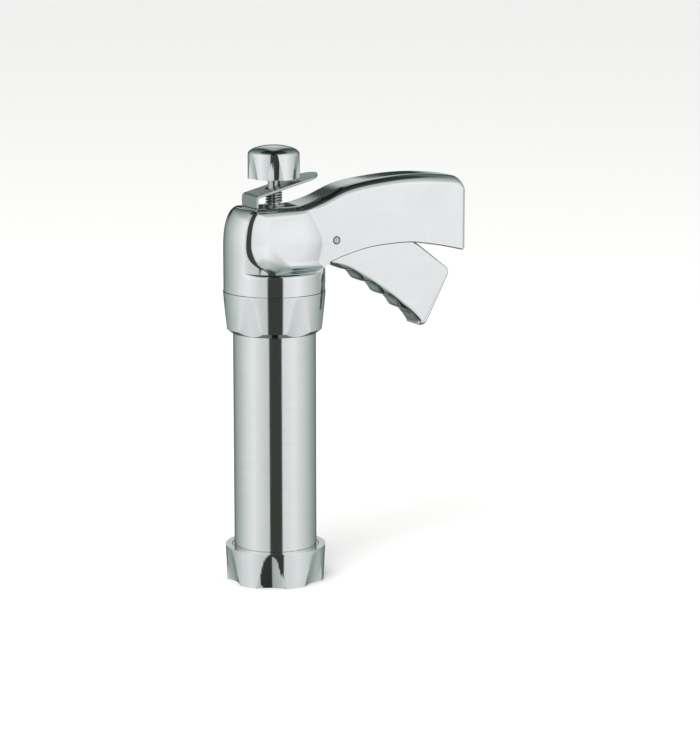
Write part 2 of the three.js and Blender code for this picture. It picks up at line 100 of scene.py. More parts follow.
FOOT = BOTTOM_LOW.z
DIE_FACE = 21.2  # radius of the disc's outer face, inside its stepped rim
DIE_STEP = DIE_LOW.z + 0.4  # height of the rim's step above the face
COLLAR_WALL = 1.0
BARREL_WALL = 1.0
BARREL_RADIUS = COLLAR_HIGH.x - COLLAR_WALL
JOINT = TOP_HIGH.z + SLIP  # the housing stands on the top ring here
COLUMN_RADIUS = -HOUSING_LOW.x
COLUMN_TOP = BUSHING_HIGH.z
COLUMN_CEILING = BUSHING_LOW.z
LEDGE = JOINT + 12.8  # top of the round skirt, where the cheeks begin
ROD_RADIUS = ROD_HIGH.x
PIN = Vector(((PIN_LOW.x + PIN_HIGH.x) / 2, 0, (PIN_LOW.z + PIN_HIGH.z) / 2))
HANDLE_END = HOUSING_HIGH.x
HANDLE_HALF = PIN_HIGH.y - 0.2  # the pin's ends stand this much proud
TAB_X = -15.8  # where the release plate's tab goes down through the column's top


class PressSizes(bpy.types.PropertyGroup):
    """Sizes of the press that can be changed by themselves."""

    cheek_half_width: FloatProperty(
        name="Cheek half width",
        description="Half the column's width between its flat cheeks, at the back",
        default=17.5 * MM, unit="LENGTH",
    )
    scoop_height: FloatProperty(
        name="Scoop height",
        description="Height over which the cheek curves out to the ledge, at its front",
        default=5.0 * MM, unit="LENGTH",
    )
    back_fillet: FloatProperty(
        name="Back fillet", description="Rounding along the handle's upper edges",
        default=6.5 * MM, unit="LENGTH",
    )
    trigger_fillet: FloatProperty(
        name="Trigger fillet", description="Rounding of the trigger's finger side",
        default=3.2 * MM, unit="LENGTH",
    )
    flute_half_width: FloatProperty(
        name="Flute half width", description="Half the width of a ring's flute at its foot",
        default=8.2 * MM, unit="LENGTH",
    )
    wave_depth: FloatProperty(
        name="Finger wave", description="Half the depth of the waves on the trigger's finger side",
        default=1.5 * MM, unit="LENGTH",
    )


class PressFinishes(bpy.types.PropertyGroup):
    """Colours of the finishes and of the studio."""

    chrome: FloatVectorProperty(
        name="Chrome", description="Bright chrome plate on the castings",
        default=linear("#F1F3F4"), subtype="COLOR",
    )
    tube: FloatVectorProperty(
        name="Tube", description="Polished aluminium of the barrel",
        default=linear("#EEF0F0"), subtype="COLOR",
    )
    steel: FloatVectorProperty(
        name="Steel", description="Zinc-plated steel of the release plate",
        default=linear("#C3CAC7"), subtype="COLOR",
    )
    wire: FloatVectorProperty(
        name="Spring wire", description="Drawn spring wire",
        default=linear("#C4C6C2"), subtype="COLOR",
    )
    brass: FloatVectorProperty(
        name="Brass", description="Turned brass of the bushings",
        default=linear("#C2A15A"), subtype="COLOR",
    )
    rubber: FloatVectorProperty(
        name="Rubber", description="Moulded rubber of the seals",
        default=linear("#26282A"), subtype="COLOR",
    )
    floor: FloatVectorProperty(
        name="Floor", description="Pale paper of the studio floor",
        default=linear("#F1F1F0"), subtype="COLOR",
    )


def sizes():
    """The press's sizes, as set in the panel."""
    return bpy.context.scene.press_sizes


def finishes():
    """The press's colours, as set in the panel."""
    return bpy.context.scene.press_finishes


# ---- Modelling helpers ---------------------------------------------------------------------------


def only(obj):
    """Selects this object alone."""
    bpy.ops.object.select_all(action="DESELECT")
    obj.select_set(True)
    bpy.context.view_layer.objects.active = obj


def tidy_shell(obj):
    """Merges doubles, drops loose edges, closes open ends and turns every face outwards."""
    only(obj)
    bpy.ops.object.mode_set(mode="EDIT")
    bpy.ops.mesh.select_all(action="SELECT")
    bpy.ops.mesh.remove_doubles(threshold=0.002 * MM)
    bpy.ops.mesh.dissolve_degenerate(threshold=0.001 * MM)
    bpy.ops.mesh.select_all(action="SELECT")
    bpy.ops.mesh.delete_loose()
    bpy.ops.mesh.select_all(action="SELECT")
    bpy.ops.mesh.fill_holes(sides=0)
    bpy.ops.mesh.select_all(action="SELECT")
    bpy.ops.mesh.normals_make_consistent(inside=False)
    bpy.ops.object.mode_set(mode="OBJECT")


def wrap(rows):
    """A grid wrapped into a closed shell through rows of points in millimetres. Each row is a loop."""
    columns = len(rows[0])
    steps = len(rows) - 1
    bpy.ops.mesh.primitive_grid_add(x_subdivisions=columns, y_subdivisions=steps, size=2)
    obj = bpy.context.object
    for vertex in obj.data.vertices:
        column = round((vertex.co.x + 1) / 2 * columns) % columns
        row = round((vertex.co.y + 1) / 2 * steps)
        vertex.co = Vector(rows[row][column]) * MM
    tidy_shell(obj)
    return obj


def turn(outline, segments=144):
    """A solid spun about the upright axis from (radius, height) pairs in millimetres."""
    bpy.ops.mesh.primitive_circle_add(vertices=len(outline), radius=1)
    obj = bpy.context.object
    for vertex, (radius, height) in zip(obj.data.vertices, outline):
        vertex.co = Vector((radius, 0, height)) * MM
    bpy.ops.object.mode_set(mode="EDIT")
    bpy.ops.mesh.select_all(action="SELECT")
    bpy.ops.mesh.spin(steps=segments, angle=2 * math.pi, center=(0, 0, 0), axis=(0, 0, 1))
    bpy.ops.object.mode_set(mode="OBJECT")
    tidy_shell(obj)
    return obj


def prism(outline, half_width):
    """A straight plate from (x, height) pairs, between -half_width and +half_width across."""
    rows = [[(x, side * half_width, z) for x, z in outline] for side in (-1, 1)]
    return wrap(rows)


def pillow(outline, half_width, steps=9):
    """A plate with a rounded rim. outline(share) gives its points and their roundings, where share runs
    from 0 at the flat sides to 1 along the middle of the rim."""
    half_rows = []
    for k in range(steps + 3):
        share = min(k / steps, 1.0)
        angle = math.pi / 2 * (1 - share)
        points, fillets = outline(smooth_step((k - 2) / steps))
        row = []
        for i, (point, fillet) in enumerate(zip(points, fillets)):
            along = (Vector(points[(i + 1) % len(points)]) - Vector(points[i - 1])).normalized()
            inset = fillet * (1 - math.cos(angle))
            across = half_width - fillet + fillet * math.sin(angle)
            # Two more rows carry the outline on over the middle of the rim.
            if k > steps:
                across *= 1 - (k - steps) / 3
            row.append((point[0] - along.y * inset, across, point[1] + along.x * inset))
        half_rows.append(row)
    rows = [[(x, -y, z) for x, y, z in row] for row in half_rows]
    return wrap(rows + half_rows[::-1])


def cross_bar(radius, length, sides):
    """A round bar across the press on the trigger pin's axis, in millimetres."""
    bpy.ops.mesh.primitive_cylinder_add(
        vertices=sides, radius=radius * MM, depth=length * MM,
        location=PIN * MM, rotation=(math.pi / 2, 0, 0),
    )
    return bpy.context.object


def block(low, high):
    """A box between two corners in millimetres."""
    bpy.ops.mesh.primitive_cube_add(size=1)
    obj = bpy.context.object
    low, high = Vector(low), Vector(high)
    for vertex in obj.data.vertices:
        share = vertex.co + Vector((0.5, 0.5, 0.5))
        vertex.co = Vector([low[i] + (high[i] - low[i]) * share[i] for i in range(3)]) * MM
    return obj


def carve(obj, tool, operation="DIFFERENCE"):
    """Cuts the tool out of obj, joins it on or keeps what both share, and removes the tool."""
    modifier = obj.modifiers.new("carve", "BOOLEAN")
    modifier.operation = operation
    modifier.solver = "EXACT"
    modifier.object = tool
    only(obj)
    bpy.ops.object.modifier_apply(modifier=modifier.name)
    bpy.data.objects.remove(tool, do_unlink=True)
    return obj


def soften(obj, width, segments=3, angle=30):
    """Rounds every edge sharper than angle by width millimetres."""
    modifier = obj.modifiers.new("soften", "BEVEL")
    modifier.width = width * MM
    modifier.segments = segments
    modifier.limit_method = "ANGLE"
    modifier.angle_limit = math.radians(angle)
    only(obj)
    bpy.ops.object.modifier_apply(modifier=modifier.name)
    return obj


def finish_piece(obj, name, body, material, nodes, crease=32):
    """Names, shades and paints a piece, and joins it to its body in place of its construction nodes."""
    only(obj)
    bpy.ops.object.transform_apply(location=True, rotation=True, scale=True)
    bpy.ops.object.shade_smooth_by_angle(angle=math.radians(crease))
    weighted = obj.modifiers.new("weighted", "WEIGHTED_NORMAL")
    weighted.keep_sharp = True
    bpy.ops.object.modifier_apply(modifier=weighted.name)
    obj.name = name
    obj.data.name = name
    obj.data.materials.clear()
    obj.data.materials.append(material)
    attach(obj, body)
    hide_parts(*nodes)
    return obj


def smooth_step(t):
    """0 below 0, 1 above 1, and an even S between them."""
    t = min(max(t, 0.0), 1.0)
    return t * t * (3 - 2 * t)


def arc(centre, radius, start, end, steps):
    """Points on a round corner, by angle in degrees."""
    points = []
    for k in range(steps + 1):
        angle = math.radians(start + (end - start) * k / steps)
        points.append((centre[0] + radius * math.cos(angle), centre[1] + radius * math.sin(angle)))
    return points


def through(points, x):
    """Height at x on a smooth curve through (x, height) points, which run from left to right."""
    if x <= points[0][0]:
        return points[0][1]
    if x >= points[-1][0]:
        return points[-1][1]
    i = max(k for k in range(len(points) - 1) if points[k][0] <= x)
    (x1, z1), (x2, z2) = points[i], points[i + 1]
    x0, z0 = points[max(i - 1, 0)]
    x3, z3 = points[min(i + 2, len(points) - 1)]
    slope1 = (z2 - z0) / (x2 - x0)
    slope2 = (z3 - z1) / (x3 - x1)
    t = (x - x1) / (x2 - x1)
    gap = x2 - x1
    start = (2 * t**3 - 3 * t**2 + 1) * z1 + (t**3 - 2 * t**2 + t) * gap * slope1
    end = (3 * t**2 - 2 * t**3) * z2 + (t**3 - t**2) * gap * slope2
    return start + end


# ---- Materials -----------------------------------------------------------------------------------


def node(tree, kind, settings=None, **links):
    """Adds a shader node with its settings, and links or sets its inputs, by name or as i0, i1 and on."""
    made = tree.nodes.new(kind)
    for key, value in (settings or {}).items():
        setattr(made, key, value)
    for key, value in links.items():
        by_number = key[0] == "i" and key[1:].isdigit()
        socket = made.inputs[int(key[1:]) if by_number else key.replace("_", " ")]
        if isinstance(value, bpy.types.NodeSocket):
            tree.links.new(value, socket)
        else:
            socket.default_value = value
    return made


def bare_material(name):
    """A new material, its node tree, its shader and the object coordinates."""
    material = bpy.data.materials.new(name)
    material.use_nodes = True
    tree = material.node_tree
    shader = tree.nodes["Principled BSDF"]
    place = node(tree, "ShaderNodeTexCoord").outputs["Object"]
    return material, tree, shader, place


PATCH = 22  # mm, size of the patches over which a metal's gloss drifts


def metal(name, colour, roughness, spread, grain, stretch=(1, 1, 1), tint=0.93, dent=0.0, dent_size=9.0):
    """A bare or plated metal: its colour and gloss vary over patches and along fine polishing lines.

    grain is the spacing of the lines in millimetres, and stretch squeezes it along each axis. tint is
    how dark the dullest places are, and spread how much rougher. dent is the height in millimetres of
    the slow waves that hand buffing leaves, and dent_size their spacing.
    """
    material, tree, shader, place = bare_material(name)
    shader.inputs["Metallic"].default_value = 1.0
    squeezed = node(tree, "ShaderNodeMapping", Vector=place, Scale=stretch).outputs["Vector"]
    lines = node(tree, "ShaderNodeTexNoise", Vector=squeezed, Scale=1 / (grain * MM), Detail=3.0,
                 Roughness=0.6)
    patches = node(tree, "ShaderNodeTexNoise", Vector=place, Scale=1 / (PATCH * MM), Detail=2.0)
    both = node(tree, "ShaderNodeMath", {"operation": "MULTIPLY"}, i0=lines.outputs["Fac"],
                i1=patches.outputs["Fac"]).outputs["Value"]
    shade = node(tree, "ShaderNodeMapRange", Value=both, From_Min=0.1, From_Max=0.45)
    dull = [c * tint for c in colour]
    blend = node(tree, "ShaderNodeMix", {"data_type": "RGBA"}, i0=shade.outputs["Result"],
                 i6=(*dull, 1), i7=(*colour, 1))
    gloss = node(tree, "ShaderNodeMapRange", Value=both, From_Min=0.1, From_Max=0.45,
                 To_Min=roughness + spread, To_Max=roughness)
    tree.links.new(blend.outputs["Result"], shader.inputs["Base Color"])
    tree.links.new(gloss.outputs["Result"], shader.inputs["Roughness"])
    if dent:
        waves = node(tree, "ShaderNodeTexNoise", Vector=place, Scale=1 / (dent_size * MM), Detail=1.0)
        bump = node(tree, "ShaderNodeBump", Height=waves.outputs["Fac"], Strength=1.0, Distance=dent * MM)
        tree.links.new(bump.outputs["Normal"], shader.inputs["Normal"])
    return material


def chrome_plate():
    """Bright chrome plate over a buffed casting: a near-mirror with slow waves from the buffing wheel."""
    return metal("bright_chrome_plate", finishes().chrome, roughness=0.05, spread=0.05, grain=1.2,
                 dent=0.012, dent_size=14)


def polished_tube():
    """Polished drawn aluminium: a mirror with faint rings left by the polishing lathe."""
    return metal("polished_drawn_aluminium", finishes().tube, roughness=0.06, spread=0.06, grain=0.9,
                 stretch=(0.05, 0.05, 1), tint=0.95)


def plated_steel():
    """Zinc-plated pressed steel: a soft grey gloss with lines along the rolled strip."""
    return metal("zinc_plated_steel", finishes().steel, roughness=0.2, spread=0.12, grain=0.5,
                 stretch=(0.1, 1, 1), tint=0.85)


def rod_steel():
    """Ground and polished steel bar: a mirror with fine grinding rings."""
    return metal("ground_steel_bar", finishes().wire, roughness=0.1, spread=0.08, grain=0.4,
                 stretch=(0.1, 0.1, 1), tint=0.9)


def spring_wire():
    """Drawn spring wire: bright, with a fine uneven gloss from the drawing die."""
    return metal("drawn_spring_wire", finishes().wire, roughness=0.16, spread=0.1, grain=0.3, tint=0.85)


def turned_brass():
    """Turned brass: warm, with the rings of the lathe tool."""
    return metal("turned_brass", finishes().brass, roughness=0.22, spread=0.12, grain=0.4,
                 stretch=(0.1, 0.1, 1), tint=0.8)


def moulded_rubber():
    """Moulded nitrile rubber: near black, dull, with a fine moulded grain."""
    material, tree, shader, place = bare_material("moulded_nitrile_rubber")
    shader.inputs["IOR"].default_value = 1.52
    colour = finishes().rubber
    grain_size = 0.6
    grain = node(tree, "ShaderNodeTexNoise", Vector=place, Scale=1 / (grain_size * MM), Detail=4.0)
    blend = node(tree, "ShaderNodeMix", {"data_type": "RGBA"}, i0=grain.outputs["Fac"],
                 i6=(*[c * 0.7 for c in colour], 1), i7=(*[c * 1.3 for c in colour], 1))
    rough = node(tree, "ShaderNodeMapRange", Value=grain.outputs["Fac"], To_Min=0.55, To_Max=0.8)
    tree.links.new(blend.outputs["Result"], shader.inputs["Base Color"])
    tree.links.new(rough.outputs["Result"], shader.inputs["Roughness"])
    return material


MAKERS = {
    "chrome": chrome_plate,
    "tube": polished_tube,
    "steel": plated_steel,
    "rod": rod_steel,
    "wire": spring_wire,
    "brass": turned_brass,
    "rubber": moulded_rubber,
}
made_materials = {}


def material(kind):
    """The material of that kind, made the first time it is asked for."""
    if kind not in made_materials:
        made_materials[kind] = MAKERS[kind]()
    return made_materials[kind]


# ---- Rings and knob: flutes ----------------------------------------------------------------------


def flute(obj, foot_radius, rim_radius, foot, apex, half_width, rounding, first, count=6):
    """Cuts a ring of shallow flutes with tilted round bars, deepest at the foot and ending at the apex."""
    wall_sag = foot_radius - math.sqrt(foot_radius**2 - half_width**2)
    bar_sag = rounding - math.sqrt(rounding**2 - half_width**2)
    foot_x = foot_radius - wall_sag - bar_sag + rounding
    lean = math.atan2(rim_radius + rounding - foot_x, apex - foot)
    for i in range(count):
        angle = math.radians(first + 360 / count * i)
        place = (foot_x * MM * math.cos(angle), foot_x * MM * math.sin(angle), foot * MM)
        bpy.ops.mesh.primitive_cylinder_add(
            vertices=720, radius=rounding * MM, depth=4 * (apex - foot) * MM,
            location=place, rotation=(0, lean, angle),
        )
        carve(obj, bpy.context.object)


FACING = -115.2  # degrees round the axis, the side that faces the camera
TOP_RING_TURN = -30  # how far round from there each piece stands, as it was last screwed on
BOTTOM_RING_TURN = -5.4
KNOB_TURN = 4.5
PLAIN_BAND = 3.1  # mm, plain band above a ring's flutes
CAST_EDGE = 0.2  # mm, rounding of a ring's edges
RING_SIDES = 180


class PRESS_OT_rings(bpy.types.Operator):
    """Add the union nut at the head and the screw ring at the foot, both with six flutes"""

    bl_idname = "press.rings"
    bl_label = "Rings"

    def execute(self, context):
        half = sizes().flute_half_width / MM
        self.top_ring(half)
        self.bottom_ring(half)
        return {"FINISHED"}

    def top_ring(self, half):
        """The barrel's flange rests on the ring's floor, and a chamfer leads out to its belt."""
        low, high = TOP_LOW.z, TOP_HIGH.z
        rim, bore = TOP_HIGH.x, 26.3
        throat = BARREL_RADIUS + 0.35
        floor = low + 3.2
        belt, belt_z = 28.7, low + 2.6
        outline = [
            (throat, low), (throat + 1.0, low), (belt, belt_z), (rim, high),
            (bore, high), (bore, floor), (throat, floor),
        ]
        ring = turn(outline, RING_SIDES)
        flute(ring, belt, rim, low, high - PLAIN_BAND, half_width=1.02 * half, rounding=30,
              first=FACING + TOP_RING_TURN)
        soften(ring, CAST_EDGE, 2, 34)
        finish_piece(ring, "head_ring", "top_ring", material("chrome"), ["top_ring"])

    def bottom_ring(self, half):
        """Its lip reaches under the disc's stepped rim, level with the disc's face."""
        foot, rim = 28.4, BOTTOM_HIGH.x
        high = BOTTOM_HIGH.z
        bore = DIE_HIGH.x + SLIP
        mouth = DIE_FACE + SLIP
        lip = DIE_STEP - SEAT
        outline = [(mouth, FOOT), (foot, FOOT), (rim, high), (bore, high), (bore, lip), (mouth, lip)]
        ring = turn(outline, RING_SIDES)
        flute(ring, foot, rim, FOOT, high - PLAIN_BAND, half_width=half, rounding=20,
              first=FACING + BOTTOM_RING_TURN)
        soften(ring, CAST_EDGE, 2, 34)
        finish_piece(ring, "foot_ring", "bottom_ring", material("chrome"),
                     ["bottom_ring"])


class PRESS_OT_knob(bpy.types.Operator):
    """Add the domed knob with its six flutes"""

    bl_idname = "press.knob"
    bl_label = "Knob"

    def execute(self, context):
        radius = KNOB_HIGH.x
        low, high = KNOB_LOW.z, KNOB_HIGH.z
        rim = low + 13.9  # where the straight side ends and the dome begins
        bore, bore_top = ROD_RADIUS + SEAT, low + 9.3
        dome = [
            (radius * math.cos(math.radians(a)), rim + (high - rim) * math.sin(math.radians(a)))
            for a in range(10, 90, 8)
        ]
        outline = [(bore, low), (radius, low), (radius, rim), *dome, (0, high), (0, bore_top),
                   (bore, bore_top)]
        knob = turn(outline, 144)
        flute(knob, radius, radius, low, rim - 1.5, half_width=4.6, rounding=9, first=FACING + KNOB_TURN)
        soften(knob, 0.4, 3, 24)
        finish_piece(knob, "round_knob", "plunger", material("chrome"), ["knob"])
        return {"FINISHED"}


# ---- Barrel, rod and the other turned pieces -----------------------------------------------------


class PRESS_OT_barrel(bpy.types.Operator):
    """Add the barrel, its foot collar, the rod, the shaping disc and the small turned pieces"""

    bl_idname = "press.barrel"
    bl_label = "Barrel"

    def execute(self, context):
        self.barrel()
        self.collar()
        self.rod()
        self.shaping_disc()
        self.small_turned()
        return {"FINISHED"}

    def barrel(self):
        """A thin tube with a flange at its head, which the top ring holds."""
        bore = BARREL_RADIUS - BARREL_WALL
        flange = BARREL_HIGH.x
        low, high = BARREL_LOW.z, BARREL_HIGH.z
        flange_z = high - 1.2
        outline = [
            (bore, low), (BARREL_RADIUS, low), (BARREL_RADIUS, flange_z), (flange, flange_z),
            (flange, high), (bore, high),
        ]
        tube = soften(turn(outline, 192), 0.3, 3)
        finish_piece(tube, "dough_barrel", "frame", material("tube"), ["barrel"])

    def collar(self):
        """The collar's thread is cut as rings, because its ends are hidden in the bottom ring."""
        inner, outer = BARREL_RADIUS + SEAT, COLLAR_HIGH.x
        low, high = COLLAR_LOW.z, COLLAR_HIGH.z
        pitch, depth = 1.6, 0.35
        flank, crest = 0.5, 0.3
        lead, band = 0.8, 1.4  # plain ends below and above the thread
        root = outer - depth
        turns = int((high - low - 3) / pitch)
        outline = [(inner, low), (root, low)]
        for k in range(turns):
            z = low + lead + k * pitch
            outline += [(root, z), (outer, z + flank), (outer, z + flank + crest),
                        (root, z + 2 * flank + crest)]
        outline += [(root, high - band - 0.2), (outer, high - band), (outer, high), (inner, high)]
        collar = turn(outline, 120)
        finish_piece(collar, "foot_collar", "frame", material("tube"), ["barrel_collar"])

    def rod(self):
        """A plain bar with chamfered ends."""
        radius, low, high = ROD_RADIUS, ROD_LOW.z, ROD_HIGH.z
        chamfer = 0.6
        outline = [(0, low), (radius - chamfer, low), (radius, low + chamfer), (radius, high - chamfer),
                   (radius - chamfer, high), (0, high)]
        rod = turn(outline, 72)
        finish_piece(rod, "feed_rod", "plunger", material("rod"), ["plunger_rod"])

    def shaping_disc(self):
        """A flower of six round-ended petals. The disc's rim is stepped back, to sit on the ring's lip."""
        radius, low, high = DIE_HIGH.x, DIE_LOW.z, DIE_HIGH.z
        plate = turn([(0, low), (DIE_FACE, low), (DIE_FACE, DIE_STEP), (radius, DIE_STEP), (radius, high),
                      (0, high)], 144)
        petals, points = 6, 48
        for i in range(petals):
            angle = 2 * math.pi * i / petals
            across = Vector((math.cos(angle), math.sin(angle), 0))
            sides = Vector((-across.y, across.x, 0))
            petal = [self.petal_point(2 * math.pi * k / points, across, sides) for k in range(points)]
            rows = [[(p.x, p.y, z) for p in petal] for z in (low - 2, high + 2)]
            carve(plate, wrap(rows))
        tidy_shell(plate)
        finish_piece(plate, "shaping_disc", "die", material("steel"), ["die_disc"])

    def petal_point(self, bearing, across, sides):
        """A point on a petal's rim. The petal is broader toward the disc's edge."""
        near, far = 6.4, 15.3  # how far from the axis it begins and ends
        narrow, broad = 1.6, 3.3  # half widths near those ends
        share = (1 + math.cos(bearing)) / 2
        reach = near + (far - near) * share
        width = (narrow + (broad - narrow) * share) * math.sin(bearing)
        return across * reach + sides * width

    def small_turned(self):
        """The washer under the release spring, and the bushing that the rod slides in."""
        bore, outer = ROD_RADIUS + SLIP, WASHER_HIGH.x
        low, high = WASHER_LOW.z, WASHER_HIGH.z
        washer = turn([(bore, low), (outer, low), (outer, high), (bore, high)], 72)
        soften(washer, 0.15, 2)
        finish_piece(washer, "release_washer", "frame", material("steel"),
                     ["release_spring_washer"])
        outer, lead_in = BUSHING_HIGH.x, 0.5
        low, high = BUSHING_LOW.z, BUSHING_HIGH.z
        bushing = turn([(bore, low), (outer, low), (outer, high), (bore + lead_in, high),
                        (bore, high - lead_in)], 72)
        finish_piece(bushing, "top_bushing", "frame", material("brass"), ["upper_rod_bushing"])


# ---- Springs -------------------------------------------------------------------------------------


def coil(radius, wire, turns, low, high):
    """A helical spring: a round section swept by the Screw modifier."""
    sides, steps = 20, 48
    bpy.ops.mesh.primitive_circle_add(vertices=sides, radius=1)
    obj = bpy.context.object
    middle = radius - wire / 2
    for k, vertex in enumerate(obj.data.vertices):
        angle = 2 * math.pi * k / sides
        across = middle + wire / 2 * math.cos(angle)
        vertex.co = Vector((across, 0, low + wire / 2 + wire / 2 * math.sin(angle))) * MM
    screw = obj.modifiers.new("sweep", "SCREW")
    screw.angle = 2 * math.pi
    screw.screw_offset = (high - low - wire) / turns * MM
    screw.iterations = turns
    screw.steps = steps
    screw.render_steps = steps
    only(obj)
    bpy.ops.object.modifier_apply(modifier=screw.name)
    tidy_shell(obj)
    return obj


def shorten(spring):
    """Gives a spring its own copy of its mesh, and leaves its length as it is."""
    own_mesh(spring)


class PRESS_OT_springs(bpy.types.Operator):
    """Add the release spring on the rod and the drive spring in the housing"""

    bl_idname = "press.springs"
    bl_label = "Springs"

    def execute(self, context):
        upper = coil(SPRING_HIGH.x, wire=1.1, turns=4, low=SPRING_LOW.z, high=SPRING_HIGH.z)
        finish_piece(upper, "thumb_spring", "frame", material("wire"), ["release_spring"],
                     crease=60)
        # The plate stays lowest over the spring's rear side; the spring is not shortened here.
        shorten(upper)
        lower = coil(DRIVE_HIGH.x, wire=1.4, turns=6, low=DRIVE_LOW.z, high=DRIVE_HIGH.z)
        finish_piece(lower, "feed_spring", "frame", material("wire"), ["drive_spring"],
                     crease=60)
        shorten(lower)
        return {"FINISHED"}


# ---- Housing -------------------------------------------------------------------------------------

SHOULDER_DROP = 26.0  # height over which the round back leans in to the column's top
SHOULDER_INSET = 10.0  # and how far it leans in
SHOULDER_POWER = 2.5  # roundness of the shoulder: 2 is an ellipse, and more is fuller
CHEEK_BACK = -23.7  # x of the cheek's rear edge
CHEEK_FRONT = 25.0  # x of the cheek's front edge
CHEEK_TAPER = 2.3  # how much narrower the front is than the back, on each side
TOP_TAPER = 1.6  # and how much more at the top
CORNER_BLEND = 9.0  # how softly the round back runs into the cheeks
FOOT_BLEND = 5.0  # and how much more softly at the ledge
FOOT_RISE = 16.0  # height above the ledge over which that softness goes
SCOOP_GROWTH = 2.4  # how much higher the cheek curves out to the ledge at its back
SCOOP_TURN = (78, 130)  # degrees from straight forward, where it begins and ends to grow
RIM_ROUND = 2.4  # rounding of the skirt's upper edge, where the ledge stands out from the cheek
RIM_SHARE = 0.3  # and the most of the ledge's width that it takes
HANDLE_TOP = JOINT + 64.2
END_CORNER = 3.0  # rounding of the handle's upright end edges
END_ROUND = 7.0  # rounding of its upper corner, seen from the side
END_LIFT = 2.2  # and of its lower corner
COLUMN_WALL = 3.4
CHANNEL_WALL = 3.0  # each side of the handle's open channel
# Heights above the joint at x: the handle's upper edge, and its arched lower edge.
BACK_CURVE = [(8, 49.0), (14, 49.6), (24, 52.5), (42, 59.4), (65.5, 62.9), (86, 63.8), (106, 62.5),
              (120, 60.3)]
BELLY_CURVE = [(18, 13.6), (29, 15.4), (39.8, 18.9), (55.3, 22.5), (71, 23.8), (83, 23.8), (91.2, 22.7),
               (103.4, 20.5), (120, 16.6)]


def back_of_handle(x):
    """Height of the upper edge: level over the column, then rising over the low arch."""
    return JOINT + through(BACK_CURVE, x)


def belly_of_handle(x):
    """Height of the handle's lower edge."""
    return JOINT + through(BELLY_CURVE, x)


def shoulder_radius(z, inset=0.0, top=None):
    """Radius of the column's round back at height z."""
    top = COLUMN_TOP if top is None else top
    rise = min(max((z - (top - SHOULDER_DROP)) / SHOULDER_DROP, 0.0), 1.0)
    lean = 1 - (1 - rise**SHOULDER_POWER) ** (1 / SHOULDER_POWER)
    return COLUMN_RADIUS - inset - SHOULDER_INSET * lean


def cheek_line(z):
    """The cheek's half width at the axis and its taper forward, which grows toward the top."""
    back = sizes().cheek_half_width / MM
    taper_foot, taper_rise = LEDGE + 14, 18
    front = back - CHEEK_TAPER - TOP_TAPER * smooth_step((z - taper_foot) / taper_rise)
    taper = (back - front) / (CHEEK_FRONT - CHEEK_BACK)
    return back + taper * CHEEK_BACK, taper


def soft_least(cheek, back, blend):
    """The lesser of two distances, with the corner between them rounded over the blend."""
    overlap = max(blend - abs(cheek - back), 0.0) / blend
    return min(cheek, back) - overlap**2 * blend / 4


def column_radius(angle, z, inset=0.0, top=None, scooped=True):
    """Distance from the axis to the column's wall, with the cheeks softly joined to the round back."""
    middle, taper = cheek_line(z)
    blend = CORNER_BLEND + FOOT_BLEND * (1 - smooth_step((z - LEDGE) / FOOT_RISE))
    back = shoulder_radius(z, inset, top)
    across = max(math.sin(angle) + taper * math.cos(angle), 0.02)
    plain = soft_least((middle - inset) / across, back, blend)
    if not scooped:
        return plain
    rise = min(max((z - LEDGE) / RIM_ROUND + 1, 0.0), 1.0)
    rounding = min(RIM_SHARE * (COLUMN_RADIUS - plain), RIM_ROUND)
    skirt = COLUMN_RADIUS - rounding * (1 - math.sqrt(1 - rise**2))
    if z <= LEDGE:
        return skirt
    start, end = map(math.radians, SCOOP_TURN)
    grown = SCOOP_GROWTH * smooth_step((angle - start) / (end - start))
    scoop = sizes().scoop_height / MM * (1 + grown)
    short = max(1 - (z - LEDGE) / scoop, 0.0)
    middle += scoop * (1 - math.sqrt(1 - short**2))
    return min(soft_least((middle - inset) / across, back, blend), skirt)


def column_loop(z, inset=0.0, top=None, scooped=True):
    """The column's own outline at height z."""
    steps = 80
    upper = []
    for k in range(steps + 1):
        angle = math.pi * k / steps
        radius = column_radius(angle, z, inset, top, scooped)
        upper.append((radius * math.cos(angle), radius * math.sin(angle), z))
    return upper + [(x, -y, z) for x, y, z in upper[-2:0:-1]]


def body_loop(z):
    """The outline of column and handle together at height z. Up to the ledge it is the column's alone."""
    straight, forward, behind = 40, 52, 90  # points along the handle's side, and round the column
    low, high = 0.0, math.radians(70)
    for _ in range(30):
        join = (low + high) / 2
        if column_radius(join, z) * math.sin(join) < HANDLE_HALF:
            low = join
        else:
            high = join
    upper = []
    if z > LEDGE:
        corner_x, corner_y = HANDLE_END - END_CORNER, HANDLE_HALF - END_CORNER
        upper += [(HANDLE_END, corner_y * k / 4) for k in range(4)]
        upper += arc((corner_x, corner_y), END_CORNER, 0, 90, 8)
        join_x = column_radius(join, z) * math.cos(join)
        run = (join_x - corner_x) / straight
        upper += [(corner_x + run * k, HANDLE_HALF) for k in range(1, straight)]
    else:
        for k in range(forward):
            angle = join * k / forward
            radius = column_radius(angle, z)
            upper.append((radius * math.cos(angle), radius * math.sin(angle)))
    for k in range(behind + 1):
        angle = join + (math.pi - join) * k / behind
        radius = column_radius(angle, z)
        upper.append((radius * math.cos(angle), radius * math.sin(angle)))
    return [(x, y, z) for x, y in upper] + [(x, -y, z) for x, y in upper[-2:0:-1]]


